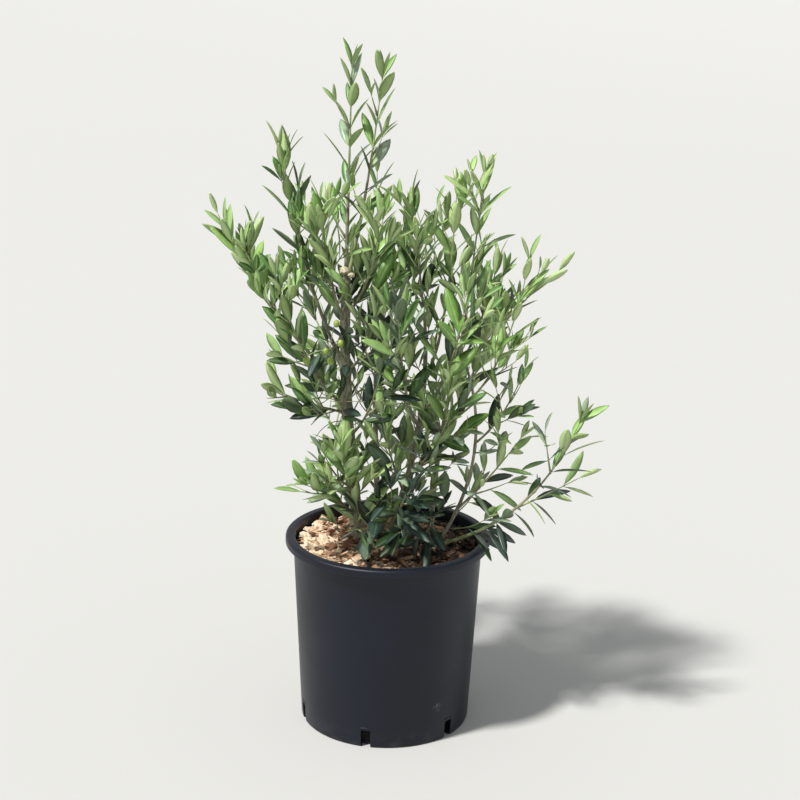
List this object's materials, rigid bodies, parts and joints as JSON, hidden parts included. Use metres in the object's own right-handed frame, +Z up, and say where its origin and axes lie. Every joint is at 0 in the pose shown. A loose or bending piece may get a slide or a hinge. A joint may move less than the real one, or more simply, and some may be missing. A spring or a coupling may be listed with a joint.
{
  "type": "potted olive tree",
  "caption": "Young clump-stemmed olive tree with upright leafy shoots, narrow paired leaves and a few green olives, in a round rimmed nursery pot filled with bark mulch.",
  "frame": {"origin": "centre of the pot's flat underside", "axes": "+Z up along the pot's axis, -Y towards the front that the picture shows, +X to its right"},
  "size_m": [0.568, 0.4264, 0.9955],
  "materials": {
    "pot": "satin dark blue-grey moulded plastic",
    "potting_mix": "coarse bark and wood chip mulch, pale tan to dark brown",
    "bark": "young grey-brown bark, finely ridged, matte",
    "leaves": "leathery green leaves with paler sage undersides, soft sheen"
  },
  "bodies": {
    "root": {"pot": "pot", "potting_mix": "potting_mix", "trunk_stem": "bark", "middle_stem": "bark", "right_stem": "bark", "outer_stem": "bark", "back_stem": "bark", "centre_skirt_bough": "bark", "left_wing_bough": "bark", "left_spire_bough": "bark", "left_shoulder_bough": "bark", "leader_fork_bough": "bark", "inner_spire_bough": "bark", "right_wing_bough": "bark", "right_front_bough": "bark", "centre_front_bough": "bark", "low_arm_bough": "bark", "back_left_upper_bough": "bark", "back_right_upper_bough": "bark", "back_left_bough": "bark", "back_right_bough": "bark", "fruiting_spray_leaves": "leaves", "heart_left_leaves": "leaves", "heart_right_leaves": "leaves", "centre_skirt_leaves": "leaves", "low_centre_right_leaves": "leaves", "low_left_tuft_leaves": "leaves", "foot_left_leaves": "leaves", "right_spire_leaves": "leaves", "left_wing_leaves": "leaves", "left_spire_leaves": "leaves", "left_shoulder_leaves": "leaves", "left_skirt_leaves": "leaves", "leader_leaves": "leaves", "leader_fork_leaves": "leaves", "crown_left_leaves": "leaves", "crown_front_leaves": "leaves", "crown_middle_leaves": "leaves", "inner_spire_leaves": "leaves", "right_shoulder_leaves": "leaves", "right_wing_leaves": "leaves", "right_front_leaves": "leaves", "centre_front_leaves": "leaves", "right_skirt_leaves": "leaves", "right_low_leaves": "leaves", "low_arm_leaves": "leaves", "low_left_leaves": "leaves", "low_left_fan_leaves": "leaves", "foot_right_leaves": "leaves", "foot_middle_leaves": "leaves", "low_centre_leaves": "leaves", "back_left_upper_leaves": "leaves", "back_top_leaves": "leaves", "back_right_upper_leaves": "leaves", "back_left_leaves": "leaves", "back_middle_leaves": "leaves", "back_right_leaves": "leaves", "back_low_left_leaves": "leaves", "back_low_right_leaves": "leaves", "right_back_leaves": "leaves"}
  },
  "joints": []
}
